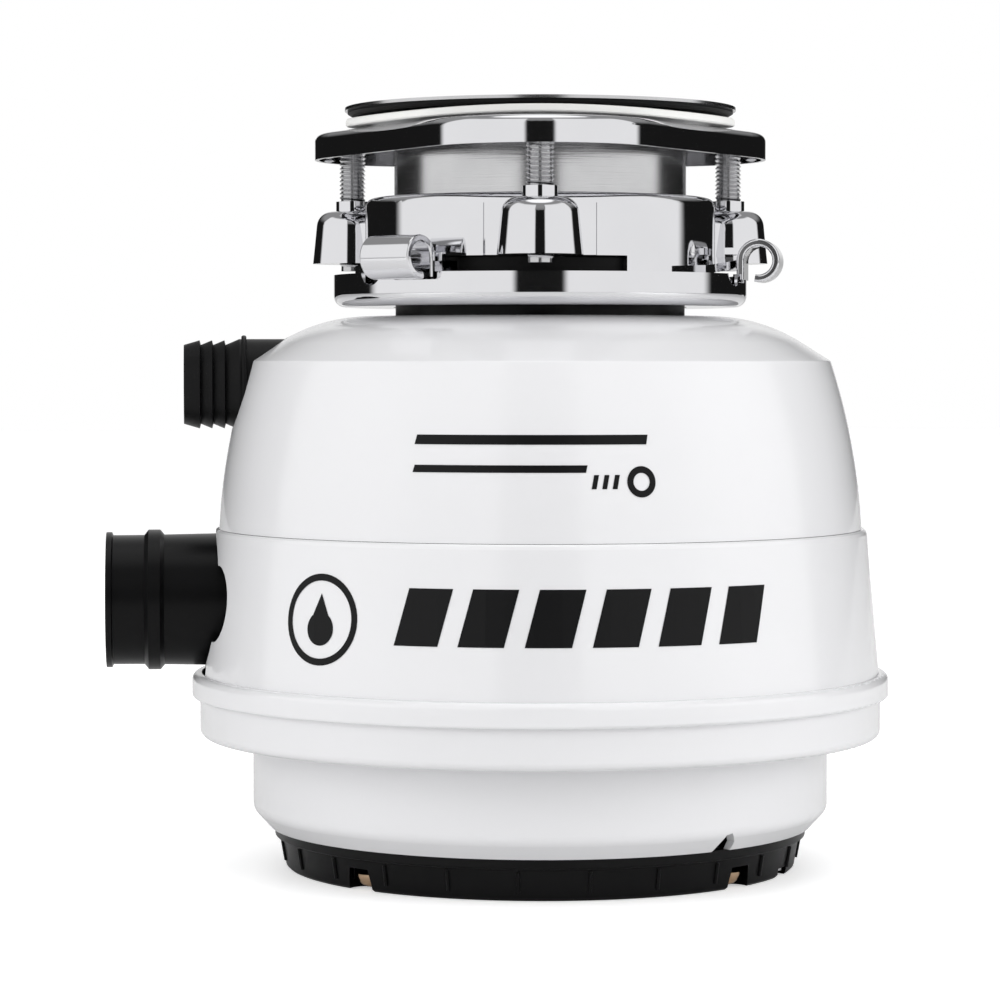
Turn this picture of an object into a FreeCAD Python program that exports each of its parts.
"""Kitchen garbage disposal with its three-bolt sink mount, as a parametric FreeCAD document.

Frame: millimetres, +Z up, the main axis on Z, z = 0 on the flat underside of the base.
Both ports point along -X. Every length is in the sheet Sizes or is worked out from it.
"""
import FreeCAD, Part
import math
import os
import Sketcher

Vector = FreeCAD.Vector
doc = FreeCAD.newDocument("garbage_disposal")
sheet = doc.addObject("Spreadsheet::Sheet", "Sizes")

SIZES = {
    # mount: angles are measured from +X about Z
    "mount_turn": (-95.5, "angle of the front mounting screw"),
    "third_turn": (120.0, "spacing of the three screws and hooks"),
    "running_gap": (0.06, "radial clearance of a turning or sliding fit"),
    "free_gap": (0.35, "clearance between neighbours that move apart"),
    "flange_radius": (57.15, "sink flange rim"),
    "flange_top": (221.5, "top of the sink flange, the highest point"),
    "flange_sheet": (0.9, "thickness of the flange sheet"),
    "sleeve_radius": (42.75, "outside of the sink sleeve"),
    "sleeve_wall": (1.5, "sink sleeve wall"),
    "sleeve_bottom": (178.2, "lower end of the sleeve"),
    "fibre_top": (219.1, "top of the fibre gasket"),
    "fibre_thick": (2.2, "fibre gasket thickness"),
    "backup_top": (215.2, "top plate of the backup ring"),
    "backup_bottom": (207.5, "lower edge of the backup ring's skirt"),
    "backup_corner": (34.4, "corner radius of the backup ring, a rounded triangle"),
    "backup_offset": (37.9, "corner centres from the axis"),
    "backup_wall": (1.3, "backup ring's skirt wall"),
    "backup_plate": (2.2, "backup ring's top plate"),
    "seat_radius": (51.6, "round seat raised on the backup ring"),
    "screw_circle": (65.6, "distance of the mounting screws from the axis"),
    "screw_radius": (4.0, "M8 mounting screw"),
    "screw_bottom": (174.6, "lower end of the mounting screws"),
    "ring_radius": (51.2, "outside of the upper mounting ring"),
    "ring_wall": (2.2, "upper mounting ring wall"),
    "ring_top": (195.2, "top of the upper mounting ring"),
    "ring_bottom": (177.4, "lower edge of the upper ring between its aprons"),
    "apron_bottom": (166.4, "lower edge of the upper ring's aprons"),
    "apron_arc": (64.5, "angle that an apron covers"),
    "apron_turn": (28.5, "from a screw to the start of the next apron"),
    "saddle_arc": (36.0, "angle of the thick wall that a screw boss stands against"),
    "saddle_proud": (1.6, "how far that wall stands out from the ring"),
    "boss_radius": (12.0, "foot of a screw boss"),
    "boss_draft": (1.6, "how much narrower a boss is at its top"),
    "boss_top": (192.9, "top of a screw boss"),
    "collar_radius": (4.95, "collar on a screw boss"),
    "collar_top": (195.9, "top of that collar"),
    "ramp_low": (175.0, "top of a ramp at its entry"),
    "ramp_high": (178.3, "top of a ramp at its locked end"),
    "ramp_thick": (2.4, "ramp thickness"),
    "ramp_reach": (58.0, "outer edge of a ramp"),
    "ramp_arc": (39.0, "angle that a ramp covers"),
    "ramp_turn": (-66.0, "from a screw to the entry end of a ramp"),
    "snap_top": (192.6, "top of the snap ring"),
    "snap_thick": (2.0, "snap ring height"),
    "snap_radius": (45.4, "outside of the snap ring"),
    "groove_radius": (42.0, "floor of the sleeve's snap-ring groove"),
    "hook_ring_radius": (60.5, "outside of the lower mounting ring"),
    "hook_ring_wall": (2.1, "lower mounting ring wall"),
    "hook_ring_top": (172.8, "top edge of the lower mounting ring"),
    "hook_ring_bottom": (163.5, "underside of the lower mounting ring"),
    "hook_height": (176.8, "centre of a hook's curl"),
    "hook_curl": (6.2, "outer radius of a hook's curl"),
    "hook_width": (17.6, "width of a hook along the ring"),
    "hook_turn": (-38.0, "from a screw to the hook beside it"),
    "tongue_reach": (55.0, "how far in a hook's tongue reaches over the ramp"),
    # hopper, grinding parts and lower chamber
    "neck_radius": (42.4, "hopper neck"),
    "neck_bore": (39.4, "inside of the hopper neck"),
    "neck_top": (170.0, "top of the hopper lip"),
    "lip_radius": (47.0, "hopper lip"),
    "lip_thick": (3.0, "hopper lip height"),
    "gasket_radius": (48.7, "mounting gasket"),
    "gasket_top": (178.0, "top of the mounting gasket"),
    "hopper_radius": (70.0, "outside of the grinding hopper"),
    "hopper_wall": (3.0, "hopper wall"),
    "hopper_flange": (77.0, "bolting flange of hopper and chamber"),
    "joint_height": (96.5, "middle of the gasket between hopper and chamber"),
    "flange_thick": (3.5, "bolting flange thickness"),
    "chamber_radius": (72.0, "outside of the lower chamber"),
    "chamber_bottom": (60.5, "underside of the lower chamber"),
    "grind_radius": (67.0, "outside of the grind ring"),
    "grind_wall": (3.4, "grind ring wall"),
    "grind_height": (20.0, "grind ring height"),
    "plate_radius": (62.5, "turntable"),
    "plate_bottom": (98.0, "underside of the turntable"),
    "plate_thick": (3.0, "turntable thickness"),
    "pivot_circle": (42.0, "impeller pivots from the axis"),
    "pin_radius": (3.0, "impeller pivot pin"),
    "lug_height": (11.0, "height of an impeller's hammer end"),
    # shells
    "shell_wall": (2.4, "plastic shell wall"),
    "dome_top": (160.8, "flat top of the upper shell"),
    "dome_start": (50.5, "where the dome starts to fall"),
    "dome_edge": (76.5, "end of the rounded part of the dome"),
    "dome_edge_height": (153.2, "its height"),
    "dome_round": (48.2, "dome arc"),
    "shoulder_radius": (85.0, "shoulder edge"),
    "shoulder_height": (147.8, "shoulder height"),
    "side_round": (187.0, "bulge of the upper shell's side"),
    "seam_radius": (94.1, "upper shell at the seam"),
    "seam_height": (98.9, "seam between the upper and middle shells"),
    "middle_top_radius": (95.7, "top of the middle shell"),
    "middle_low_radius": (99.3, "middle shell at the band"),
    "band_radius": (102.1, "band, the widest part"),
    "band_top": (57.0, "top of the band"),
    "band_bottom": (50.1, "bottom of the band"),
    "tier_radius": (99.8, "tier under the band"),
    "tier_bottom": (38.4, "step under that tier"),
    "skirt_radius": (84.4, "lowest tier"),
    "skirt_bottom": (12.1, "lower edge of the shells"),
    "skirt_foot": (79.6, "lowest tier at its rounded foot"),
    "base_lip": (78.0, "lip of the base cap"),
    "base_lip_low": (9.1, "underside of that lip"),
    "base_radius": (76.3, "base cap wall"),
    "base_foot": (74.8, "base cap at its underside"),
    "base_wall": (2.4, "base cap wall"),
    "spigot_top": (19.5, "top of the base cap's spigot, inside the lowest tier"),
    "base_screw_circle": (70.4, "base screws from the axis"),
    "base_screw_turn": (-42.0, "from the front mounting screw to the first base screw"),
    # ports
    "port_height": (78.3, "axis of the discharge tube"),
    "port_end": (126.8, "end of the discharge tube from the axis"),
    "port_radius": (18.85, "discharge tube"),
    "port_bore": (16.8, "inside of the discharge tube"),
    "port_face": (84.0, "face of the chamber's port flange"),
    "port_flange": (21.5, "round part of the port flange"),
    "ear_radius": (10.0, "ear of the port flange"),
    "ear_offset": (20.6, "ear centre from the port axis"),
    "bead_radius": (20.4, "bead round the discharge tube"),
    "inlet_height": (141.0, "axis of the dishwasher inlet"),
    "inlet_end": (104.2, "end of the dishwasher inlet from the axis"),
    "inlet_radius": (13.2, "dishwasher inlet sleeve"),
    "inlet_bore": (9.0, "inside of the dishwasher inlet"),
    "barb_peak": (12.85, "crest of a hose barb"),
    "barb_root": (11.5, "root of a hose barb"),
    "stub_radius": (11.0, "hopper stub inside the inlet sleeve"),
    # motor
    "can_radius": (60.0, "motor can"),
    "can_wall": (1.8, "motor can wall"),
    "can_bottom": (11.0, "lower edge of the motor can"),
    "can_top": (57.5, "top of the motor can"),
    "magnet_inner": (53.4, "bore between the magnets"),
    "core_radius": (52.4, "armature core"),
    "core_bottom": (28.0, "underside of the armature core"),
    "core_thick": (16.0, "armature core height"),
    "shaft_radius": (6.0, "shaft"),
    "shaft_tail": (4.0, "shaft in the lower bearing"),
    "comm_radius": (12.0, "commutator"),
    "comm_bottom": (13.2, "underside of the commutator"),
    "comm_thick": (8.8, "commutator height"),
    "brush_size": (6.0, "square carbon brush"),
    "button_circle": (66.0, "reset button from the axis"),
    "button_turn": (62.0, "angle of the reset button"),
    "button_radius": (3.2, "reset button"),
    "button_bottom": (0.6, "reset button, recessed in the base"),
    "cord_turn": (118.0, "angle of the cord inlet"),
    "cord_circle": (65.4, "cord inlet from the axis"),
    "cord_bore": (4.0, "cord inlet bore"),
}


class Size:
    """A length or angle: its number, and the sheet expression that gives it."""

    def __init__(self, value, text=None):
        self.value = float(value)
        self.text = text or ("%.6g" % value if value >= 0 else "(0 - %.6g)" % -value)

    def _join(self, other, sign, value):
        return Size(value, "(%s %s %s)" % (self.text, sign, as_size(other).text))

    def __add__(self, other):
        return self._join(other, "+", self.value + as_size(other).value)

    def __sub__(self, other):
        return self._join(other, "-", self.value - as_size(other).value)

    def __mul__(self, other):
        return self._join(other, "*", self.value * as_size(other).value)

    def __neg__(self):
        return Size(-self.value, "(0 - %s)" % self.text)


def as_size(number):
    return number if isinstance(number, Size) else Size(number)


class Sheet:
    """D.alias gives the Size of one cell of the sheet."""

    def __getattr__(self, alias):
        return Size(SIZES[alias][0], "Sizes." + alias)


D = Sheet()
for row, (alias, (number, note)) in enumerate(SIZES.items(), start=1):
    sheet.set("A%d" % row, note)
    sheet.set("B%d" % row, "%g" % number)
    sheet.setAlias("B%d" % row, alias)
doc.recompute()

parts = {}


def across(length, angle):
    """The X and Y of a point at a length from the axis, at an angle in degrees."""
    turn = math.radians(as_size(angle).value)
    length, angle = as_size(length), as_size(angle)
    return (Size(length.value * math.cos(turn), "(%s * cos(%s * 1 deg))" % (length.text, angle.text)),
            Size(length.value * math.sin(turn), "(%s * sin(%s * 1 deg))" % (length.text, angle.text)))


def place(thing, x=0, y=0, z=0, spin=None):
    """Bind a Placement: where the thing stands, and its turn about Z in degrees."""
    if spin is not None:
        thing.Placement = FreeCAD.Placement(Vector(), FreeCAD.Rotation(Vector(0, 0, 1), 1))
        thing.setExpression("Placement.Rotation.Angle", as_size(spin).text + " * 1 deg")
    for axis, length in (("x", x), ("y", y), ("z", z)):
        thing.setExpression("Placement.Base." + axis, as_size(length).text)
    return thing


def keep(name, thing):
    """Name a finished sub-part."""
    thing.Label = name
    parts[name] = thing
    return thing


def origin_plane(body, role):
    return [f for f in body.Origin.OriginFeatures if f.Role == role][0]


def outline(body, points, role="XZ_Plane"):
    """A closed sketch through (u, v) points; (u, v, radius) bows the next side out as an arc.

    A positive radius turns to the left of the way walked, a negative one to the right."""
    sketch = body.newObject("Sketcher::SketchObject", body.Name + "_outline")
    sketch.AttachmentSupport = [(origin_plane(body, role), "")]
    sketch.MapMode = "FlatFace"
    count = len(points)
    spots = [Vector(as_size(p[0]).value, as_size(p[1]).value, 0) for p in points]
    starts = []
    for i in range(count):
        here, after = spots[i], spots[(i + 1) % count]
        if len(points[i]) == 2:
            sketch.addGeometry(Part.LineSegment(here, after), False)
            starts.append((i, 1, i, 2))
            continue
        bow = as_size(points[i][2]).value
        chord = after - here
        rise = math.sqrt(max(bow * bow - chord.Length ** 2 / 4, 0))
        side = Vector(-chord.y, chord.x, 0).normalize() * (rise if bow > 0 else -rise)
        centre = (here + after) * 0.5 + side
        first = math.atan2(here.y - centre.y, here.x - centre.x)
        last = math.atan2(after.y - centre.y, after.x - centre.x)
        circle = Part.Circle(centre, Vector(0, 0, 1), abs(bow))
        if bow > 0:
            sketch.addGeometry(Part.ArcOfCircle(circle, first, last), False)
            starts.append((i, 1, i, 2))
        else:
            sketch.addGeometry(Part.ArcOfCircle(circle, last, first), False)
            starts.append((i, 2, i, 1))
    for i in range(count):
        after = starts[(i + 1) % count]
        sketch.addConstraint(Sketcher.Constraint("Coincident", i, starts[i][3], after[0], after[1]))
    for i, point in enumerate(points):
        for kind, length in (("DistanceX", point[0]), ("DistanceY", point[1])):
            size = as_size(length)
            k = sketch.addConstraint(Sketcher.Constraint(kind, -1, 1, i, starts[i][1], size.value))
            sketch.setExpression("Constraints[%d]" % k, size.text)
        if len(point) == 3:
            bow = as_size(point[2])
            k = sketch.addConstraint(Sketcher.Constraint("Radius", i, abs(bow.value)))
            sketch.setExpression("Constraints[%d]" % k, bow.text if bow.value > 0 else (-bow).text)
    return sketch


def turned(name, points, axis="V_Axis"):
    """A body turned about Z from (radius, height), or about X from (x, radius)."""
    body = doc.addObject("PartDesign::Body", name)
    sketch = outline(body, points)
    spin = body.newObject("PartDesign::Revolution", name + "_turned")
    spin.Profile = sketch
    spin.ReferenceAxis = (sketch, [axis])
    spin.Angle = 360
    return body


def padded(name, points, depth, role="XY_Plane", middle=False):
    """A body padded from an outline."""
    body = doc.addObject("PartDesign::Body", name)
    sketch = outline(body, points, role)
    pad = body.newObject("PartDesign::Pad", name + "_pad")
    pad.Profile = sketch
    pad.setExpression("Length", as_size(depth).text)
    pad.Midplane = middle
    return body


def fillet(body, radius, wanted):
    """Round the edges of a body's tip that a test picks."""
    doc.recompute()
    solid = body.Tip
    names = ["Edge%d" % n for n, edge in enumerate(solid.Shape.Edges, start=1) if wanted(edge)]
    if not names:
        raise RuntimeError("%s: no edge to round was found" % body.Name)
    feature = body.newObject("PartDesign::Fillet", body.Name + "_rounded")
    feature.Base = (solid, names)
    feature.setExpression("Radius", as_size(radius).text)
    body.Tip = feature
    return body


def rounded(body, radius, spot):
    """Round the edge of a turned body that passes through a (radius, height) spot."""
    def wanted(edge):
        if not isinstance(edge.Curve, Part.Circle):
            return False
        centre = edge.Curve.Center
        return (abs(edge.Curve.Radius - as_size(spot[0]).value) < 0.02
                and abs(centre.z - as_size(spot[1]).value) < 0.02
                and abs(centre.x) + abs(centre.y) < 0.02)
    return fillet(body, radius, wanted)


def rod(name, radius, height, x=0, y=0, z=0):
    thing = doc.addObject("Part::Cylinder", name)
    thing.setExpression("Radius", as_size(radius).text)
    thing.setExpression("Height", as_size(height).text)
    return place(thing, x, y, z)


def rod_along_x(name, radius, start, end, y=0, z=0):
    """A cylinder along X, from x = start up to x = end."""
    thing = doc.addObject("Part::Cylinder", name)
    thing.setExpression("Radius", as_size(radius).text)
    thing.setExpression("Height", (as_size(end) - start).text)
    thing.Placement.Rotation = FreeCAD.Rotation(Vector(0, 1, 0), 90)
    return place(thing, start, y, z)


def block(name, length, width, height, x=0, y=0, z=0):
    """A box centred on (x, y), standing on z."""
    thing = doc.addObject("Part::Box", name)
    thing.setExpression("Length", as_size(length).text)
    thing.setExpression("Width", as_size(width).text)
    thing.setExpression("Height", as_size(height).text)
    return place(thing, as_size(x) - as_size(length) * 0.5, as_size(y) - as_size(width) * 0.5, z)


def cut(name, base, *tools):
    for number, tool in enumerate(tools, start=1):
        result = doc.addObject("Part::Cut", "%s_cut%d" % (name, number))
        result.Base = base
        result.Tool = tool
        base = result
    return base


def fuse(name, *shapes):
    result = doc.addObject("Part::MultiFuse", name + "_joined")
    result.Shapes = list(shapes)
    return result


def group(name, shapes):
    """Separate solids that share one node."""
    result = doc.addObject("Part::Compound", name + "_group")
    result.Links = list(shapes)
    return result


def sector(name, inner, outer, bottom, height, start, sweep):
    """Part of a ring, from an angle on, through a sweep in degrees."""
    body = doc.addObject("PartDesign::Body", name)
    top = as_size(bottom) + height
    sketch = outline(body, [(inner, bottom), (outer, bottom), (outer, top), (inner, top)])
    spin = body.newObject("PartDesign::Revolution", name + "_turned")
    spin.Profile = sketch
    spin.ReferenceAxis = (sketch, ["V_Axis"])
    spin.setExpression("Angle", as_size(sweep).text + " * 1 deg")
    return place(body, spin=start)


def screw_angle(number):
    return D.mount_turn + D.third_turn * number


# --- sink flange, sleeve and their gaskets -------------------------------------------------
sleeve_bore = D.sleeve_radius - D.sleeve_wall
flange_under = D.flange_top - D.flange_sheet
snap_bottom = D.snap_top - D.snap_thick
keep("sink_flange", rounded(turned("sink_flange", [
    (sleeve_bore, D.sleeve_bottom), (D.sleeve_radius, D.sleeve_bottom),
    (D.sleeve_radius, snap_bottom), (D.groove_radius, snap_bottom),
    (D.groove_radius, D.snap_top), (D.sleeve_radius, D.snap_top),
    (D.sleeve_radius, flange_under), (D.flange_radius, flange_under),
    (D.flange_radius, D.flange_top), (sleeve_bore, D.flange_top),
]), 1.2, (sleeve_bore, D.flange_top)))

keep("flange_gasket", rounded(turned("flange_gasket", [
    (D.sleeve_radius, D.fibre_top), (D.flange_radius - 2.2, D.fibre_top),
    (D.flange_radius - 0.8, flange_under - 0.7), (D.flange_radius - 0.8, flange_under),
    (D.sleeve_radius, flange_under),
]), 0.3, (D.flange_radius - 2.2, D.fibre_top)))

fibre_bottom = D.fibre_top - D.fibre_thick
sleeve_clear = D.sleeve_radius + D.free_gap
keep("fibre_gasket", turned("fibre_gasket", [
    (sleeve_clear, fibre_bottom), (D.flange_radius - 0.3, fibre_bottom),
    (D.flange_radius - 0.3, D.fibre_top - 0.05), (sleeve_clear, D.fibre_top - 0.05),
]))


# --- backup ring: a dished, rounded triangle with a corner over each screw ------------------
def triangle(inset):
    """The ring's outline: three corner arcs, each about a screw's direction, joined by flats."""
    corner = D.backup_corner - inset
    points = []
    for number in range(3):
        centre = across(D.backup_offset, screw_angle(number))
        for side in (-60, 60):
            reach = across(corner, screw_angle(number) + side)
            spot = (centre[0] + reach[0], centre[1] + reach[1])
            points.append(spot + (corner,) if side < 0 else spot)
    return points


backup_shell = padded("backup_shell", triangle(0), D.backup_top - D.backup_bottom)
backup_rise = (D.backup_top - D.backup_bottom).value
fillet(backup_shell, 2.4, lambda edge: edge.BoundBox.ZMin > backup_rise - 0.01)
place(backup_shell, z=D.backup_bottom)
backup_hollow = padded("backup_hollow", triangle(D.backup_wall.value),
                       D.backup_top - D.backup_bottom - D.backup_plate)
place(backup_hollow, z=D.backup_bottom)
backup_seat = turned("backup_seat", [
    (D.sleeve_radius, D.backup_top - 1), (D.seat_radius, D.backup_top - 1),
    (D.seat_radius, D.backup_top), (D.seat_radius - 1.2, fibre_bottom - 0.06),
    (D.sleeve_radius, fibre_bottom - 0.06),
])
backup_solid = fuse("backup", backup_shell, backup_seat)
keep("backup_ring", cut("backup", backup_solid, backup_hollow,
                        rod("backup_bore", sleeve_clear, 20, z=D.backup_bottom - 2)))

# --- mounting screws, slotted in their lower ends ------------------------------------------
screw_top = D.backup_top - D.backup_plate - 0.1
thread_radius = D.screw_radius - 0.03
for number, side in enumerate(("front", "right", "left")):
    name = "mounting_screw_" + side
    spot = across(D.screw_circle, screw_angle(number))
    shank = turned(name + "_shank", [
        (0, D.screw_bottom), (thread_radius - 1.1, D.screw_bottom),
        (thread_radius, D.screw_bottom + 1.1), (thread_radius, screw_top - 0.8),
        (thread_radius - 0.8, screw_top), (0, screw_top),
    ])
    place(shank, spot[0], spot[1], 0)
    slot = block(name + "_slot", 9, 1.2, 1.6, spot[0], spot[1], D.screw_bottom - 0.1)
    keep(name, cut(name, shank, slot))

# --- upper mounting ring: plate, skirt, aprons, screw bosses and ramps ----------------------
ring_inner = D.ring_radius - D.ring_wall
upper_ring = rounded(turned("upper_ring_cup", [
    (sleeve_clear, D.ring_top - D.ring_wall), (ring_inner, D.ring_top - D.ring_wall),
    (ring_inner, D.ring_bottom), (D.ring_radius, D.ring_bottom),
    (D.ring_radius, D.ring_top), (sleeve_clear, D.ring_top),
]), 2.6, (D.ring_radius, D.ring_top))


def ramp(name, turn):
    """A rib that climbs round the apron, lofted through four radial sections."""
    steps = 4
    sections = []
    for step in range(steps):
        share = step / (steps - 1)
        angle = math.radians((turn + D.ramp_arc * share).value)
        top = D.ramp_low.value + (D.ramp_high.value - D.ramp_low.value) * share
        corners = [(ring_inner.value + 1, top - D.ramp_thick.value),
                   (D.ramp_reach.value, top - D.ramp_thick.value),
                   (D.ramp_reach.value, top), (ring_inner.value + 1, top)]
        points = [Vector(r * math.cos(angle), r * math.sin(angle), z) for r, z in corners]
        sections.append(Part.makePolygon(points + points[:1]))
    rib = doc.addObject("Part::Feature", name)
    rib.Shape = Part.makeLoft(sections, True, False)
    return rib


upper_ring_parts = [upper_ring]
boss_bores = []
for number in range(3):
    spot = across(D.screw_circle, screw_angle(number))
    boss = rounded(turned("boss%d" % number, [
        (0, D.ring_bottom - 0.3), (D.boss_radius, D.ring_bottom - 0.3),
        (D.boss_radius - D.boss_draft, D.boss_top), (0, D.boss_top),
    ]), 4.6, (D.boss_radius - D.boss_draft, D.boss_top))
    place(boss, spot[0], spot[1], 0)
    collar = rod("collar%d" % number, D.collar_radius, D.collar_top - D.boss_top + 2,
                 spot[0], spot[1], D.boss_top - 2)
    web_width = Size(15)
    saddle = sector("saddle%d" % number, ring_inner + 0.5, D.ring_radius + D.saddle_proud,
                    D.ring_bottom, D.ring_top - D.ring_bottom - 3.2,
                    screw_angle(number) - D.saddle_arc * 0.5, D.saddle_arc)
    fillet(saddle, 1.4, lambda edge: edge.BoundBox.ZLength > 10 and math.hypot(
        edge.BoundBox.Center.x, edge.BoundBox.Center.y) > D.ring_radius.value)
    web = sector("web%d" % number, ring_inner + 1, D.screw_circle - 6, D.ring_bottom,
                 D.boss_top - D.ring_bottom - 4, screw_angle(number) - web_width * 0.5, web_width)
    apron = sector("apron%d" % number, ring_inner, D.ring_radius, D.apron_bottom,
                   D.ring_bottom - D.apron_bottom + 1, screw_angle(number) + D.apron_turn,
                   D.apron_arc)
    upper_ring_parts += [boss, collar, web, saddle, apron,
                         ramp("ramp%d" % number, screw_angle(number) + D.ramp_turn)]
    boss_bores.append(rod("boss_bore%d" % number, D.screw_radius + D.running_gap, 30,
                          spot[0], spot[1], D.ring_bottom - 5))
keep("upper_mounting_ring", cut("upper_ring", fuse("upper_ring", *upper_ring_parts), *boss_bores))

snap_open = block("snap_open", 8, 8, 4, -43.5, 0, snap_bottom - 1)
snap_full = turned("snap_full", [
    (D.groove_radius + 0.05, snap_bottom + 0.1), (D.snap_radius, snap_bottom + 0.1),
    (D.snap_radius, D.snap_top - 0.1), (D.groove_radius + 0.05, D.snap_top - 0.1),
])
keep("snap_ring", cut("snap", snap_full, snap_open))

# --- lower mounting ring with its three curled hooks ----------------------------------------
hook_inner = D.hook_ring_radius - D.hook_ring_wall
ring_floor = D.hook_ring_bottom + D.hook_ring_wall
neck_clear = D.neck_radius + 0.6
lower_ring = rounded(rounded(turned("lower_ring_cup", [
    (neck_clear, D.hook_ring_bottom), (D.hook_ring_radius, D.hook_ring_bottom),
    (D.hook_ring_radius, D.hook_ring_top), (hook_inner, D.hook_ring_top),
    (hook_inner, ring_floor), (neck_clear, ring_floor),
]), 3.4, (D.hook_ring_radius, D.hook_ring_bottom)), 1.3, (hook_inner, ring_floor))
curl_inner = D.hook_curl - D.hook_ring_wall
curl_axis = hook_inner + D.hook_curl
tip_turn = -100
tip_out = across(D.hook_curl, tip_turn)
tip_in = across(curl_inner, tip_turn)
hooks = []
notches = []
for number in range(3):
    turn = screw_angle(number) + D.hook_turn
    strip = padded("hook%d" % number, [
        (hook_inner, D.hook_ring_top - 1.5), (hook_inner, D.hook_height, -D.hook_curl),
        (curl_axis, D.hook_height + D.hook_curl, -D.hook_curl),
        (curl_axis + D.hook_curl, D.hook_height, -D.hook_curl),
        (curl_axis + tip_out[0], D.hook_height + tip_out[1]),
        (curl_axis + tip_in[0], D.hook_height + tip_in[1], curl_inner),
        (curl_axis + curl_inner, D.hook_height, curl_inner),
        (curl_axis, D.hook_height + curl_inner, curl_inner),
        (hook_inner + D.hook_ring_wall, D.hook_height),
        (hook_inner + D.hook_ring_wall, D.hook_ring_top - 1.5),
    ], D.hook_width, role="XZ_Plane", middle=True)
    ends = D.hook_width.value / 2
    fillet(strip, 0.6, lambda edge: edge.Length > 2.5 and edge.BoundBox.YLength < 0.01
           and abs(abs(edge.BoundBox.YMin) - ends) < 0.01)
    place(strip, spin=turn)
    tongue_arc = Size(12)
    tongue = sector("tongue%d" % number, D.tongue_reach, hook_inner + 1.9,
                    D.ramp_high + D.free_gap, 1.9, turn - tongue_arc * 0.5, tongue_arc)
    hooks += [strip, tongue]
    scoop = rod("scoop%d" % number, 5.2, 10)
    lean = across(1, turn - 14.5)
    scoop.Placement.Rotation = FreeCAD.Rotation(Vector(0, 0, 1),
                                                Vector(lean[0].value, lean[1].value, 0))
    start = across(hook_inner - 4, turn - 14.5)
    place(scoop, start[0], start[1], D.hook_ring_top + 1.6)
    notches.append(scoop)
keep("lower_mounting_ring", fuse("lower_ring", cut("lower_ring", lower_ring, *notches), *hooks))

# --- mounting gasket and splash guard --------------------------------------------------------
gasket_bore = Size(40.5)
keep("mounting_gasket", rounded(turned("mounting_gasket", [
    (D.lip_radius + 0.1, ring_floor + 0.7), (D.gasket_radius, ring_floor + 0.7),
    (D.gasket_radius, D.gasket_top), (gasket_bore, D.gasket_top),
    (gasket_bore, D.neck_top + 0.05), (D.lip_radius + 0.1, D.neck_top + 0.05),
]), 1.2, (D.gasket_radius, D.gasket_top)))
guard = turned("guard_disc", [
    (11, D.neck_top + 1.5), (gasket_bore - 6, D.neck_top + 3), (gasket_bore - 0.05, D.neck_top + 3),
    (gasket_bore - 0.05, D.neck_top + 5), (gasket_bore - 6, D.neck_top + 5), (11, D.neck_top + 3.5),
])
slits = []
for number in range(8):
    slit = block("slit%d" % number, 24, 1.0, 12)
    turn = as_size(45.0 * number)
    slit.Placement.Rotation = FreeCAD.Rotation(Vector(0, 0, 1), turn.value)
    corner = across(10, turn)
    side = across(0.5, turn - 90)
    place(slit, corner[0] + side[0], corner[1] + side[1], D.neck_top - 3)
    slits.append(slit)
keep("splash_guard", cut("guard", guard, *slits))

# --- hopper ------------------------------------------------------------------------------------
hopper_inner = D.hopper_radius - D.hopper_wall
hopper_low = D.joint_height + 0.5
hopper_cup = rounded(turned("hopper_cup", [
    (hopper_inner, hopper_low), (D.hopper_flange, hopper_low),
    (D.hopper_flange, hopper_low + D.flange_thick), (D.hopper_radius, hopper_low + D.flange_thick),
    (D.hopper_radius, D.dome_top - 15.5), (D.neck_radius, D.dome_top - 3.6),
    (D.neck_radius, D.neck_top - D.lip_thick), (D.lip_radius, D.neck_top - D.lip_thick),
    (D.lip_radius, D.neck_top), (D.neck_bore, D.neck_top),
    (D.neck_bore, D.dome_top - 5.8), (hopper_inner, D.dome_top - 17.6),
]), 0.8, (D.lip_radius, D.neck_top))
hopper_stub = rod_along_x("hopper_stub", D.stub_radius, Size(-80), -(hopper_inner - 1.4),
                          z=D.inlet_height)
hopper_hole = rod_along_x("hopper_hole", D.inlet_bore - 1, Size(-90), -40, z=D.inlet_height)
flange_bolt_circle = (D.hopper_radius + D.hopper_flange) * 0.5
flange_holes = [rod("flange_hole%d" % n, 1.7, 14, *across(flange_bolt_circle, 30.0 + 60 * n),
                    z=D.joint_height - 7) for n in range(6)]
keep("hopper", cut("hopper", fuse("hopper", hopper_cup, hopper_stub), hopper_hole, *flange_holes))

# --- dishwasher inlet: a rubber sleeve with three hose barbs -------------------------------------
barb_step = Size(3.6)
barb_first = D.inlet_end - 4.6
sleeve_foot = D.hopper_radius + 3.4
inlet_points = [(-D.inlet_end, D.inlet_bore), (-D.inlet_end, D.barb_root)]
for number in range(3):
    crest = barb_first - barb_step * number
    inlet_points += [(-crest, D.barb_peak), (-(crest - 0.35), D.barb_root)]
stub_end = Size(80.0)
inlet_points += [
    (-(barb_first - barb_step * 3 - 0.7), D.inlet_radius), (-sleeve_foot, D.inlet_radius),
    (-sleeve_foot, D.stub_radius + 0.02), (-(stub_end + 0.1), D.stub_radius + 0.02),
    (-(stub_end + 0.1), D.inlet_bore),
]
inlet = turned("dishwasher_inlet", inlet_points, axis="H_Axis")
keep("dishwasher_inlet", place(inlet, z=D.inlet_height))

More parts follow.
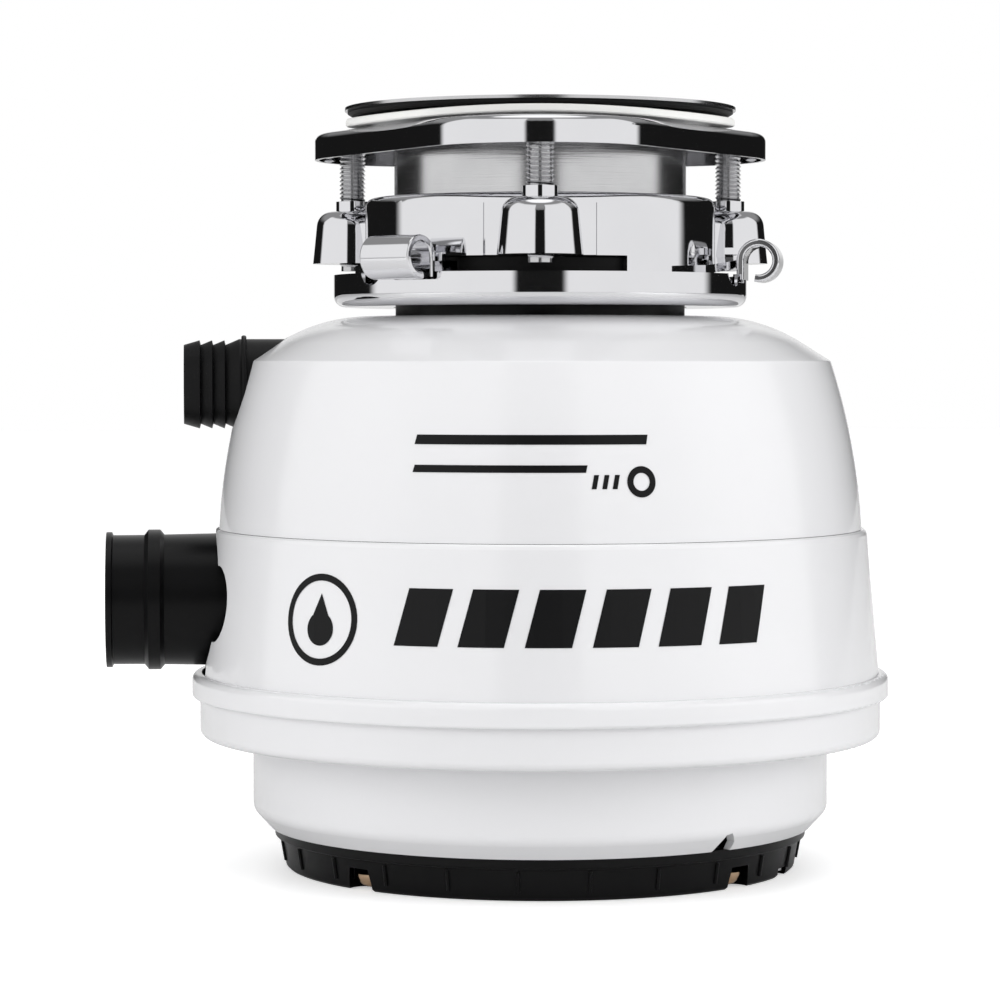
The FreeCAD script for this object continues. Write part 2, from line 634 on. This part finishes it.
# --- grind ring, lower chamber and the gasket between --------------------------------------------
grind_inner = D.grind_radius - D.grind_wall
grind_body = turned("grind_body", [
    (grind_inner, hopper_low + 0.2), (D.grind_radius - 0.05, hopper_low + 0.2),
    (D.grind_radius - 0.05, hopper_low + D.grind_height),
    (grind_inner, hopper_low + D.grind_height),
])
grind_teeth = []
for number in range(24):
    angle = 15.0 * number
    spot = across(grind_inner, angle)
    grind_teeth.append(rod("grind_tooth%d" % number, 1.6, D.grind_height * 0.6,
                           spot[0], spot[1], hopper_low - 1))
keep("grind_ring", cut("grind", grind_body, group("grind_teeth", grind_teeth)))

chamber_inner = D.chamber_radius - D.hopper_wall
chamber_top = D.joint_height - 0.5
seal_floor = D.chamber_bottom + 4
seal_radius = Size(14.0)
chamber_cup = turned("chamber_cup", [
    (D.shaft_radius + 2, D.chamber_bottom), (D.chamber_radius, D.chamber_bottom),
    (D.chamber_radius, chamber_top - D.flange_thick),
    (D.hopper_flange, chamber_top - D.flange_thick), (D.hopper_flange, chamber_top),
    (chamber_inner, chamber_top), (chamber_inner, seal_floor), (seal_radius + 4, seal_floor),
    (seal_radius + 4, seal_floor + 6.5), (seal_radius, seal_floor + 6.5),
    (seal_radius, seal_floor), (D.shaft_radius + 2, seal_floor),
])


def port_plate(name, start, end, inset=0.0):
    """A round plate with an ear each side, square to X."""
    disc = rod_along_x(name + "_disc", D.port_flange - inset, start, end, z=D.port_height)
    ears = [rod_along_x("%s_ear%d" % (name, n), D.ear_radius - inset, start, end,
                        y=D.ear_offset * way, z=D.port_height) for n, way in enumerate((-1, 1))]
    return fuse(name, disc, *ears)


port_neck = rod_along_x("port_neck", D.port_bore + 3.2, -(D.port_face - 2),
                        -(chamber_inner - 6), z=D.port_height)
port_hole = rod_along_x("port_hole", D.port_bore, -(D.port_face + 5), -40, z=D.port_height)
port_screw_holes = [rod_along_x("port_screw_hole%d" % n, 1.9, -(D.port_face + 6),
                                -(D.port_face - 6), y=D.ear_offset * way * 1.12,
                                z=D.port_height) for n, way in enumerate((-1, 1))]
port_trim = block("port_trim", 38.6, 60, 20, -59.3, 0, chamber_top)
chamber_hollow = rod("chamber_hollow", chamber_inner - 0.01, chamber_top - seal_floor,
                     z=seal_floor)
port_stub = cut("port_stub", fuse("port_stub", port_neck, port_plate(
    "chamber_port", -D.port_face, -(D.port_face - 5))), chamber_hollow, port_trim)
keep("lower_chamber", cut("chamber", fuse("chamber", chamber_cup, port_stub), port_hole,
                          *port_screw_holes,
                          *[rod("chamber_bolt_hole%d" % n, 1.7, 14,
                                *across(flange_bolt_circle, 30.0 + 60 * n),
                                z=chamber_top - 10) for n in range(6)],
                          *[rod("tie_hole%d" % n, 2.7, 3, y=55.6 * way,
                                z=D.chamber_bottom - 1) for n, way in enumerate((-1, 1))]))
gasket_disc = turned("gasket_disc", [
    (chamber_inner, chamber_top), (D.hopper_flange, chamber_top),
    (D.hopper_flange, hopper_low), (chamber_inner, hopper_low),
])
keep("chamber_gasket", cut("gasket", gasket_disc,
                           *[rod("gasket_hole%d" % n, 1.8, 6,
                                 *across(flange_bolt_circle, 30.0 + 60 * n),
                                 z=chamber_top - 2) for n in range(6)]))
chamber_bolts = []
for number in range(6):
    spot = across(flange_bolt_circle, 30.0 + 60 * number)
    shank = rod("chamber_shank%d" % number, 1.65, D.flange_thick * 2 + 2.5, spot[0], spot[1],
                chamber_top - D.flange_thick - 1.5)
    head = rod("chamber_head%d" % number, 3.2, 2.2, spot[0], spot[1],
               hopper_low + D.flange_thick)
    chamber_bolts.append(fuse("chamber_bolt%d" % number, shank, head))
keep("chamber_bolts", group("chamber_bolts", chamber_bolts))

# --- discharge tube with its gasket, ears and screws ----------------------------------------------
gasket_face = D.port_face + 2
tube_plate_face = gasket_face + 3.5
bead_middle = Size(112.9)
tube_body = turned("tube_body", [
    (-D.port_end, D.port_bore), (-D.port_end, D.port_radius + 0.85),
    (-(D.port_end - 1.6), D.port_radius + 0.85), (-(D.port_end - 2.0), D.port_radius - 0.05),
    (-(bead_middle + 2.9), D.port_radius), (-(bead_middle + 1.7), D.bead_radius),
    (-(bead_middle - 1.7), D.bead_radius), (-(bead_middle - 2.9), D.port_radius + 0.1),
    (-tube_plate_face, D.port_radius + 0.5), (-gasket_face, D.port_radius + 0.5),
    (-gasket_face, D.port_bore),
], axis="H_Axis")
place(tube_body, z=D.port_height)
tube_plate = cut("tube_plate", port_plate("tube_plate", -tube_plate_face, -gasket_face),
                 rod_along_x("tube_plate_bore", D.port_bore, Size(-99), -70, z=D.port_height))
tube_holes = [rod_along_x("tube_screw_hole%d" % n, 2.0, Size(-99), -80,
                          y=D.ear_offset * way * 1.12, z=D.port_height)
              for n, way in enumerate((-1, 1))]
keep("discharge_tube", cut("tube", fuse("tube", tube_body, tube_plate), *tube_holes))
seal_plate = port_plate("seal_plate", -gasket_face, -D.port_face, inset=0.6)
keep("discharge_gasket", cut(
    "seal_plate", seal_plate,
    rod_along_x("seal_plate_bore", D.port_bore, Size(-99), -70, z=D.port_height),
    *[rod_along_x("seal_screw_hole%d" % n, 2.1, Size(-99), -70, y=D.ear_offset * way * 1.12,
                  z=D.port_height) for n, way in enumerate((-1, 1))]))
port_screws = []
for number, way in enumerate((-1, 1)):
    side = D.ear_offset * way * 1.12
    shank = rod_along_x("port_shank%d" % number, 1.85, -(tube_plate_face + 0.5),
                        -(D.port_face - 5), y=side, z=D.port_height)
    head = rod_along_x("port_head%d" % number, 3.6, -(tube_plate_face + 2.3),
                       -tube_plate_face, y=side, z=D.port_height)
    port_screws.append(fuse("port_screw%d" % number, shank, head))
keep("discharge_screws", group("discharge_screws", port_screws))

# --- turntable, impellers, nut ----------------------------------------------------------------------
plate_top = D.plate_bottom + D.plate_thick
table = turned("table_disc", [
    (D.shaft_radius, D.plate_bottom - 10), (13, D.plate_bottom - 10), (13, D.plate_bottom),
    (D.plate_radius, D.plate_bottom), (D.plate_radius, plate_top), (D.shaft_radius, plate_top),
])
table_holes = [rod("table_drain%d" % n, 2.4, 8, *across(56, 18.0 + 36 * n),
                   z=D.plate_bottom - 2) for n in range(10)]
pin_holes = [rod("pin_hole%d" % n, D.pin_radius, 8, x=D.pivot_circle * way,
                 z=D.plate_bottom - 2) for n, way in enumerate((-1, 1))]
keep("turntable", cut("table", table, group("table_drains", table_holes), *pin_holes))
lug_bottom = plate_top + 0.2
pins = []
for number, way in enumerate((-1, 1)):
    pivot = D.pivot_circle * way
    bar = block("lug_bar%d" % number, 26, 12, 4, pivot + 4.0 * way, 0, lug_bottom)
    heel = rod("lug_heel%d" % number, 7, 4, pivot, 0, lug_bottom)
    hammer = block("lug_hammer%d" % number, 6, 12, D.lug_height, pivot + 14.0 * way, 0,
                   lug_bottom)
    hole = rod("lug_hole%d" % number, D.pin_radius + D.running_gap, 20, pivot, 0, lug_bottom - 5)
    name = "impeller_left" if way < 0 else "impeller_right"
    keep(name, cut(name, fuse(name, bar, heel, hammer), hole))
    stem = rod("pin_stem%d" % number, D.pin_radius, D.plate_thick + 5.0, pivot, 0,
               D.plate_bottom)
    cap = rod("pin_cap%d" % number, 5.2, 1.8, pivot, 0, D.plate_bottom + D.plate_thick + 4.6)
    pins.append(fuse("pin%d" % number, stem, cap))
keep("impeller_pins", group("impeller_pins", pins))
nut_across = Size(18.0)
nut_corner = nut_across * (1 / math.sqrt(3))
nut = padded("nut_hex", [across(nut_corner, 60.0 * n) for n in range(6)], 7)
place(nut, z=plate_top)
keep("turntable_nut", cut("nut", nut, rod("nut_bore", 5.0, 20, z=plate_top - 5)))

# --- shaft, seal and bearings -----------------------------------------------------------------------
tail_bottom = Size(4.5)
step_height = Size(12.2)
keep("shaft", turned("shaft", [
    (0, tail_bottom), (D.shaft_tail, tail_bottom), (D.shaft_tail, step_height),
    (D.shaft_radius, step_height), (D.shaft_radius, plate_top), (5, plate_top),
    (5, plate_top + 9), (0, plate_top + 9),
]))
keep("shaft_seal", turned("shaft_seal", [
    (D.shaft_radius + D.running_gap, seal_floor + 1.5), (D.shaft_radius + 3, seal_floor),
    (seal_radius, seal_floor), (seal_radius, seal_floor + 5.5),
    (D.shaft_radius + 3, seal_floor + 5.5), (D.shaft_radius + D.running_gap, seal_floor + 4),
]))


def bearing(name, bore, outer, bottom, height):
    """A shielded ball bearing: two races with the shields set back between them."""
    top = as_size(bottom) + height
    shield = Size(0.6)
    width = (as_size(outer) - bore) * 0.28
    keep(name, turned(name, [
        (bore, bottom), (as_size(bore) + width, bottom),
        (as_size(bore) + width, as_size(bottom) + shield),
        (as_size(outer) - width, as_size(bottom) + shield),
        (as_size(outer) - width, bottom), (outer, bottom), (outer, top),
        (as_size(outer) - width, top), (as_size(outer) - width, top - shield),
        (as_size(bore) + width, top - shield), (as_size(bore) + width, top), (bore, top),
    ]))


upper_seat = Size(50.5)
bearing("upper_bearing", D.shaft_radius + D.running_gap, 16.0, upper_seat, 9.6)
bearing("lower_bearing", D.shaft_tail + D.running_gap, 11.0, tail_bottom + 0.2, 7.0)

# --- motor -------------------------------------------------------------------------------------------
can_inner = D.can_radius - D.can_wall
can_cup = turned("can_cup", [
    (16, D.can_top - D.can_wall), (16, upper_seat), (18, upper_seat),
    (18, D.can_top - D.can_wall), (can_inner, D.can_top - D.can_wall),
    (can_inner, D.can_bottom), (D.can_radius, D.can_bottom), (D.can_radius, D.can_top),
    (18, D.can_top), (18, upper_seat + 9.6), (16, upper_seat + 9.6),
])
tie_ways = (-1, 1)
keep("motor_can", cut("can", can_cup, *[rod("can_tie_hole%d" % n, 2.7, 8, y=55.6 * way,
                                            z=D.can_top - 6) for n, way in enumerate(tie_ways)]))
magnets = [sector("magnet%d" % n, D.magnet_inner, can_inner, 22, 28, start, 130)
           for n, start in enumerate((-65, 115))]
keep("magnets", group("magnets", magnets))
core = doc.addObject("PartDesign::Body", "core")
core_sketch = outline(core, [(D.core_radius, 0, D.core_radius), (0, D.core_radius, D.core_radius),
                             (-D.core_radius, 0, D.core_radius),
                             (0, -D.core_radius, D.core_radius)], "XY_Plane")
core_pad = core.newObject("PartDesign::Pad", "core_pad")
core_pad.Profile = core_sketch
core_pad.setExpression("Length", D.core_thick.text)
slot_sketch = outline(core, [(24, -3.2), (D.core_radius - 5, -4), (D.core_radius - 5, -1.2),
                             (D.core_radius + 1, -1.2), (D.core_radius + 1, 1.2),
                             (D.core_radius - 5, 1.2), (D.core_radius - 5, 4), (24, 3.2)],
                      "XY_Plane")
slot_pocket = core.newObject("PartDesign::Pocket", "core_slot")
slot_pocket.Profile = slot_sketch
slot_pocket.Type = 1
slot_pocket.Reversed = True
slot_ring = core.newObject("PartDesign::PolarPattern", "core_slots")
slot_ring.Originals = [slot_pocket]
slot_ring.Axis = (core_sketch, ["N_Axis"])
slot_ring.Angle = 360
slot_ring.Occurrences = 12
core.Tip = slot_ring
place(core, z=D.core_bottom)
keep("armature_core", cut("core", core, rod("core_bore", D.shaft_radius, 40,
                                            z=D.core_bottom - 10)))
core_top = D.core_bottom + D.core_thick
coils = []
for number, (bottom, top) in enumerate(((D.core_bottom - 4.8, D.core_bottom),
                                        (core_top, core_top + 4.8))):
    coils.append(turned("coil%d" % number, [
        (22, bottom), (45, bottom), (47, (bottom + top) * 0.5), (45, top), (22, top),
        (20, (bottom + top) * 0.5)]))
keep("armature_windings", group("armature_windings", coils))
comm_top = D.comm_bottom + D.comm_thick
keep("commutator", turned("commutator", [
    (D.shaft_radius, D.comm_bottom), (D.comm_radius, D.comm_bottom),
    (D.comm_radius, comm_top - 1.8), (D.comm_radius + 1.6, comm_top - 1.2),
    (D.comm_radius + 1.6, comm_top), (D.shaft_radius, comm_top),
]))
brush_height = D.comm_bottom + 0.5
brush_end = Size(26.0)
holders = []
brushes = []
springs = []
for number, way in enumerate((-1, 1)):
    middle = (D.comm_radius + 2.4 + 36) * 0.5 * way
    outer = block("holder_outer%d" % number, Size(33) - D.comm_radius, 9, 7.0, middle, 0,
                  brush_height - 1.5)
    channel = block("holder_channel%d" % number, Size(33) - D.comm_radius - 1.5,
                    D.brush_size, D.brush_size, middle - 1.6 * way, 0, brush_height - 0.5)
    holders.append(cut("holder%d" % number, outer, channel))
    brushes.append(block("brush%d" % number, brush_end - D.comm_radius - D.running_gap,
                         D.brush_size - 0.2, D.brush_size - 0.7,
                         (brush_end + D.comm_radius + D.running_gap) * 0.5 * way, 0,
                         brush_height - 0.4))
    first = brush_end * -1 - 5.2 if way < 0 else brush_end
    springs.append(rod_along_x("spring%d" % number, 2.2, first, first + 5.2, z=brush_height + 2.2))
keep("brush_holders", group("brush_holders", holders))
keep("brushes", group("brushes", brushes))
keep("brush_springs", group("brush_springs", springs))
bell_bottom = Size(8.0)
bell = turned("bell_disc", [
    (11, 4.2), (14, 4.2), (14, bell_bottom), (D.can_radius, bell_bottom),
    (D.can_radius, D.can_bottom), (14, D.can_bottom), (14, 12), (11, 12),
])
keep("end_bell", cut("bell", bell, *[rod("bell_tie_hole%d" % n, 2.7, 8, y=55.6 * way,
                                         z=bell_bottom - 2) for n, way in enumerate(tie_ways)]))
ties = []
for number, way in enumerate(tie_ways):
    stem = rod("tie_stem%d" % number, 2.5, Size(62.3) - bell_bottom, y=55.6 * way, z=bell_bottom)
    head = rod("tie_head%d" % number, 4.6, 3.4, y=55.6 * way, z=bell_bottom - 3.4)
    ties.append(fuse("tie%d" % number, stem, head))
keep("tie_bolts", group("tie_bolts", ties))

# --- shells ----------------------------------------------------------------------------------------
wall = D.shell_wall
neck_hole = D.neck_radius + 0.4
upper_body = rounded(turned("upper_shell_body", [
    (neck_hole, D.dome_top - wall), (neck_hole, D.dome_top), (D.dome_start, D.dome_top, -D.dome_round),
    (D.dome_edge, D.dome_edge_height), (D.shoulder_radius, D.shoulder_height, -D.side_round),
    (D.seam_radius, D.seam_height + 0.1), (D.seam_radius - wall, D.seam_height + 0.1, D.side_round),
    (D.shoulder_radius - wall, D.shoulder_height - 1.4), (D.dome_edge - 0.8, D.dome_edge_height - 2.3,
                                                           D.dome_round),
    (D.dome_start, D.dome_top - wall),
]), 0.7, (D.shoulder_radius, D.shoulder_height))
inlet_hole = rod_along_x("inlet_hole", D.inlet_radius + 0.7, Size(-110), -60, z=D.inlet_height)
keep("upper_shell", cut("upper_shell", upper_body, inlet_hole))

middle_bottom = D.band_top - 4
middle_body = turned("middle_shell_body", [
    (D.middle_top_radius - wall - 0.6, D.seam_height), (D.middle_top_radius - 0.9, D.seam_height),
    (D.middle_top_radius - 0.3, D.seam_height - 0.5), (D.middle_top_radius, D.seam_height - 1.4),
    (D.middle_low_radius, D.band_top), (D.middle_low_radius, middle_bottom),
    (D.middle_low_radius - wall, middle_bottom), (D.middle_low_radius - wall, D.band_top),
])
opening_tools = [rod_along_x("port_opening", D.port_flange + 0.7, Size(-120), -80,
                             z=D.port_height)]
for number, way in enumerate((-1, 1)):
    opening_tools.append(rod_along_x("ear_opening%d" % number, D.ear_radius + 1.0, Size(-120),
                                     -70, y=D.ear_offset * way, z=D.port_height))
slot_height = D.port_height - middle_bottom + 2
opening_tools.append(block("port_slot", 40, 28, slot_height, -100, 0, middle_bottom - 2))
keep("middle_shell", cut("middle_shell", middle_body, *opening_tools))

skirt_wall = Size(2.6)
lower_body = rounded(rounded(rounded(turned("lower_shell_body", [
    (D.middle_low_radius + 0.05, D.band_top), (D.band_radius, D.band_top),
    (D.band_radius, D.band_bottom), (D.tier_radius, D.band_bottom),
    (D.tier_radius, D.tier_bottom), (D.skirt_radius, D.tier_bottom),
    (D.skirt_radius, D.skirt_bottom + 5.2), (D.skirt_foot, D.skirt_bottom),
    (D.skirt_foot - skirt_wall, D.skirt_bottom), (D.skirt_radius - skirt_wall, D.skirt_bottom + 6),
    (D.skirt_radius - skirt_wall, D.tier_bottom + skirt_wall),
    (D.tier_radius - skirt_wall, D.tier_bottom + skirt_wall),
    (D.tier_radius - skirt_wall, middle_bottom - 0.05),
    (D.middle_low_radius + 0.05, middle_bottom - 0.05),
]), 2.0, (D.band_radius, D.band_top)), 0.8, (D.band_radius, D.band_bottom)),
    2.4, (D.tier_radius, D.tier_bottom))
rounded(lower_body, 4.2, (D.skirt_radius, D.skirt_bottom + 5.2))
notch_turn = D.mount_turn + 39
notch = padded("skirt_notch", [
    (-3.8, D.skirt_bottom - 2), (3.8, D.skirt_bottom - 2), (3.0, D.skirt_bottom + 2.6),
    (0.4, D.skirt_bottom + 5.4), (-1.6, D.skirt_bottom + 5.0)], 30, role="XZ_Plane")
notch_spot = across(70, notch_turn)
place(notch, notch_spot[0], notch_spot[1], 0, spin=notch_turn + 90)
keep("lower_shell", cut("lower_shell", lower_body, notch))

# --- base cap and what it carries -------------------------------------------------------------------
base_body = rounded(turned("base_body", [
    (0, 0), (D.base_foot - 0.6, 0), (D.base_foot, 0.6), (D.base_radius, D.base_lip_low),
    (D.base_lip, D.base_lip_low),
    (D.base_lip, D.skirt_bottom - 0.05), (D.base_radius, D.skirt_bottom - 0.05),
    (D.base_radius, D.spigot_top), (D.base_radius - D.base_wall, D.spigot_top),
    (D.base_foot - D.base_wall, D.base_wall), (0, D.base_wall),
]), 0.5, (D.base_lip, D.base_lip_low))
base_tools = []
base_screws = []
screw_posts = []
bay_radius = Size(5.4)
post_radius = Size(6.8)
for number in range(4):
    turn = D.mount_turn + D.base_screw_turn + 90.0 * number
    spot = across(D.base_screw_circle, turn)
    base_tools.append(rod("screw_bay%d" % number, bay_radius, 7.2,
                          *across(D.base_screw_circle + 1.2, turn), z=-1))
    base_tools.append(rod("base_screw_hole%d" % number, 2.1, 20, spot[0], spot[1], -1))
    head = rod("base_screw_head%d" % number, 4.1, 2.9, spot[0], spot[1], 0.4)
    shank = rod("base_screw_shank%d" % number, 2.0, 12, spot[0], spot[1], 2.0)
    base_screws.append(fuse("base_screw%d" % number, head, shank))
    screw_posts.append(rod("screw_post%d" % number, post_radius, 6.6,
                           *across(D.base_screw_circle - 2.8, turn), z=1.2))
ground_turn = D.mount_turn + 68
ground_spot = across(70.2, ground_turn)
screw_posts.append(rod("ground_post", post_radius, 4.0, *across(67.6, ground_turn), z=1.2))
base_solid = fuse("base", base_body, *screw_posts)
button_spot = across(D.button_circle, D.button_turn)
cord_spot = across(D.cord_circle, D.cord_turn)
base_tools.append(rod("button_hole", D.button_radius + D.free_gap, 6, button_spot[0],
                      button_spot[1], -1))
base_tools.append(rod("cord_hole", 6.0, 6, cord_spot[0], cord_spot[1], -1))
base_tools.append(rod("ground_bay", bay_radius, 3.6, *across(71.0, ground_turn), z=-1))
base_tools.append(rod("ground_hole", 2.1, 12, ground_spot[0], ground_spot[1], -1))
keep("base_cap", cut("base", base_solid, *base_tools))
keep("base_screws", group("base_screws", base_screws))
ground_head = rod("ground_head", 3.4, 1.7, ground_spot[0], ground_spot[1], 0.1)
ground_washer = rod("ground_washer", 4.4, 0.8, ground_spot[0], ground_spot[1], 1.75)
ground_shank = rod("ground_shank", 1.95, 8, ground_spot[0], ground_spot[1], 1.2)
keep("ground_screw", fuse("ground", ground_head, ground_washer, ground_shank))
grommet = turned("grommet_ring", [
    (D.cord_bore, 0.3), (5.95, 0.3), (5.95, D.base_wall + 0.05), (6.9, D.base_wall + 0.05),
    (6.9, D.base_wall + 1.6), (D.cord_bore, D.base_wall + 2.4),
])
keep("cord_grommet", place(grommet, cord_spot[0], cord_spot[1], 0))

# --- overload protector with its sprung reset button --------------------------------------------------
protector_bottom = Size(7.0)
well_top = Size(17.0)
protector = block("protector_case", 10.6, 20, 19)
protector.Placement.Rotation = FreeCAD.Rotation(Vector(0, 0, 1), D.button_turn.value)
corner = across(D.button_circle - 5.0, D.button_turn)
side = across(10, D.button_turn - 90)
place(protector, corner[0] + side[0], corner[1] + side[1], protector_bottom)
well = rod("protector_well", D.button_radius + D.free_gap, well_top - protector_bottom + 1,
           button_spot[0], button_spot[1], protector_bottom - 1)
keep("overload_protector", cut("protector", protector, well))
button_top = Size(10.0)
button = rounded(turned("reset_button", [
    (0, D.button_bottom), (D.button_radius, D.button_bottom), (D.button_radius, button_top),
    (0, button_top)]), 0.6, (D.button_radius, D.button_bottom))
keep("reset_button", place(button, button_spot[0], button_spot[1], 0))
keep("reset_spring", cut("reset_spring", rod("spring_outer", 2.6, well_top - button_top,
                                             button_spot[0], button_spot[1], button_top),
                         rod("spring_inner", 1.8, 20, button_spot[0], button_spot[1], 5)))
board_turn = Size(-20.0)
board = block("board_plate", 1.6, 30, 24)
board.Placement.Rotation = FreeCAD.Rotation(Vector(0, 0, 1), board_turn.value)
corner = across(64, board_turn)
side = across(15, board_turn - 90)
place(board, corner[0] + side[0], corner[1] + side[1], 16)
bridge = block("board_bridge", 5, 16, 14)
bridge.Placement.Rotation = FreeCAD.Rotation(Vector(0, 0, 1), board_turn.value)
corner = across(65.5, board_turn)
side = across(8, board_turn - 90)
place(bridge, corner[0] + side[0], corner[1] + side[1], 21)
keep("rectifier_board", fuse("board", board, bridge))

# --- sound insulation --------------------------------------------------------------------------------
foam = turned("foam_sleeve", [
    (D.hopper_radius + 0.3, hopper_low + D.flange_thick + 3), (82, hopper_low + D.flange_thick + 3),
    (80, 140), (D.hopper_radius + 0.3, 144)])
keep("sound_insulation", cut("foam", foam, rod_along_x(
    "foam_hole", D.inlet_radius + 0.5, Size(-100), -60, z=D.inlet_height)))

# --- check and write ------------------------------------------------------------------------------------
doc.recompute()
for thing in doc.Objects:
    if "Invalid" in thing.State or "Error" in thing.State:
        raise RuntimeError("%s failed: %s" % (thing.Name, thing.State))
os.makedirs("parts", exist_ok=True)
for name, thing in parts.items():
    shape = thing.Shape
    if shape.isNull() or not shape.isValid():
        raise RuntimeError("%s has no valid shape" % name)
    shape.exportStep("parts/%s.step" % name)
    box = shape.BoundBox
    print("%-22s %8.0f mm3  solids %d  x %.1f..%.1f y %.1f..%.1f z %.1f..%.1f" % (
        name, shape.Volume, len(shape.Solids), box.XMin, box.XMax, box.YMin, box.YMax,
        box.ZMin, box.ZMax))
